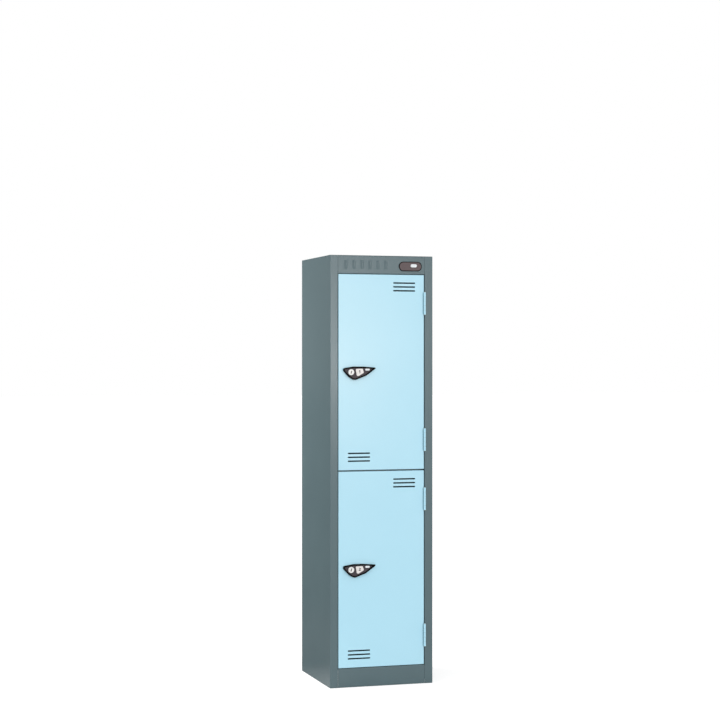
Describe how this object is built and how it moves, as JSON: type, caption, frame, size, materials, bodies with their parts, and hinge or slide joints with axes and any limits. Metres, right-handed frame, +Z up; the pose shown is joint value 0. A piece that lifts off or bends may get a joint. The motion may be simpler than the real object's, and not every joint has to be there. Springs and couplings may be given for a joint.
{
  "type": "school locker",
  "caption": "Narrow upright steel locker with stacked hinged doors, cam locks, vent slots, a shelf and coat hooks, in grey with pale blue doors.",
  "frame": {"origin": "on the floor, under the middle of the body's footprint", "axes": "+Z up, -Y out of the doors, +X to the right seen from the front; the body's front face lies on y = -0.1525 and the hinges stand 7 mm in front of it"},
  "size_m": [0.305, 0.3135, 1.22],
  "materials": {
    "carcass_paint": "satin",
    "door_paint": "satin",
    "zinc_steel": "satin",
    "lock_chrome": "polished",
    "black_plastic": "gloss",
    "taupe_plastic": "satin",
    "pale_plastic": "gloss",
    "brass": "satin",
    "rubber": "matte"
  },
  "bodies": {
    "carcass": {"left_side_panel": "carcass_paint", "right_side_panel": "carcass_paint", "back_panel": "carcass_paint", "top_panel": "carcass_paint", "base_panel": "carcass_paint", "centre_shelf": "carcass_paint", "header_rail": "carcass_paint", "header_badge": "black_plastic", "badge_face": "taupe_plastic", "badge_inlay": "pale_plastic", "plinth_rail": "carcass_paint", "back_rivets": "zinc_steel", "upper_coat_hook": "zinc_steel", "lower_coat_hook": "zinc_steel", "door_buffers": "rubber", "hinge_backing_plates": "zinc_steel", "hinge_screws": "zinc_steel", "upper_hinge_pins": "zinc_steel", "lower_hinge_pins": "zinc_steel", "upper_hinge_frame_leaves": "door_paint", "lower_hinge_frame_leaves": "door_paint"},
    "upper_door": {"upper_door_skin": "door_paint", "upper_door_stiffener": "door_paint", "upper_hinge_door_leaves": "door_paint", "upper_lock_backing_plate": "zinc_steel", "upper_lock_escutcheon": "black_plastic", "upper_escutcheon_face": "taupe_plastic", "upper_number_plate": "pale_plastic", "upper_indicator": "pale_plastic", "upper_push_nuts": "zinc_steel", "upper_lock_housing": "lock_chrome", "upper_lock_nut": "zinc_steel"},
    "upper_lock_cylinder": {"upper_lock_plug": "lock_chrome", "upper_lock_wafers": "brass", "upper_lock_cam": "zinc_steel", "upper_cam_screw": "zinc_steel"},
    "lower_door": {"lower_door_skin": "door_paint", "lower_door_stiffener": "door_paint", "lower_hinge_door_leaves": "door_paint", "lower_lock_backing_plate": "zinc_steel", "lower_lock_escutcheon": "black_plastic", "lower_escutcheon_face": "taupe_plastic", "lower_number_plate": "pale_plastic", "lower_indicator": "pale_plastic", "lower_push_nuts": "zinc_steel", "lower_lock_housing": "lock_chrome", "lower_lock_nut": "zinc_steel"},
    "lower_lock_cylinder": {"lower_lock_plug": "lock_chrome", "lower_lock_wafers": "brass", "lower_lock_cam": "zinc_steel", "lower_cam_screw": "zinc_steel"}
  },
  "joints": [
    {"name": "upper_door_hinge", "type": "hinge", "parent": "carcass", "child": "upper_door", "pos_m": [0.1275, -0.1565, 0.88962], "axis": [0, 0, 1], "range_deg": [0, 180]},
    {"name": "upper_lock_turn", "type": "hinge", "parent": "upper_door", "child": "upper_lock_cylinder", "pos_m": [-0.092, -0.1525, 0.88962], "axis": [0, 1, 0], "range_deg": [0, 90]},
    {"name": "lower_door_hinge", "type": "hinge", "parent": "carcass", "child": "lower_door", "pos_m": [0.1275, -0.1565, 0.33187], "axis": [0, 0, 1], "range_deg": [0, 180]},
    {"name": "lower_lock_turn", "type": "hinge", "parent": "lower_door", "child": "lower_lock_cylinder", "pos_m": [-0.092, -0.1525, 0.33187], "axis": [0, 1, 0], "range_deg": [0, 90]}
  ]
}
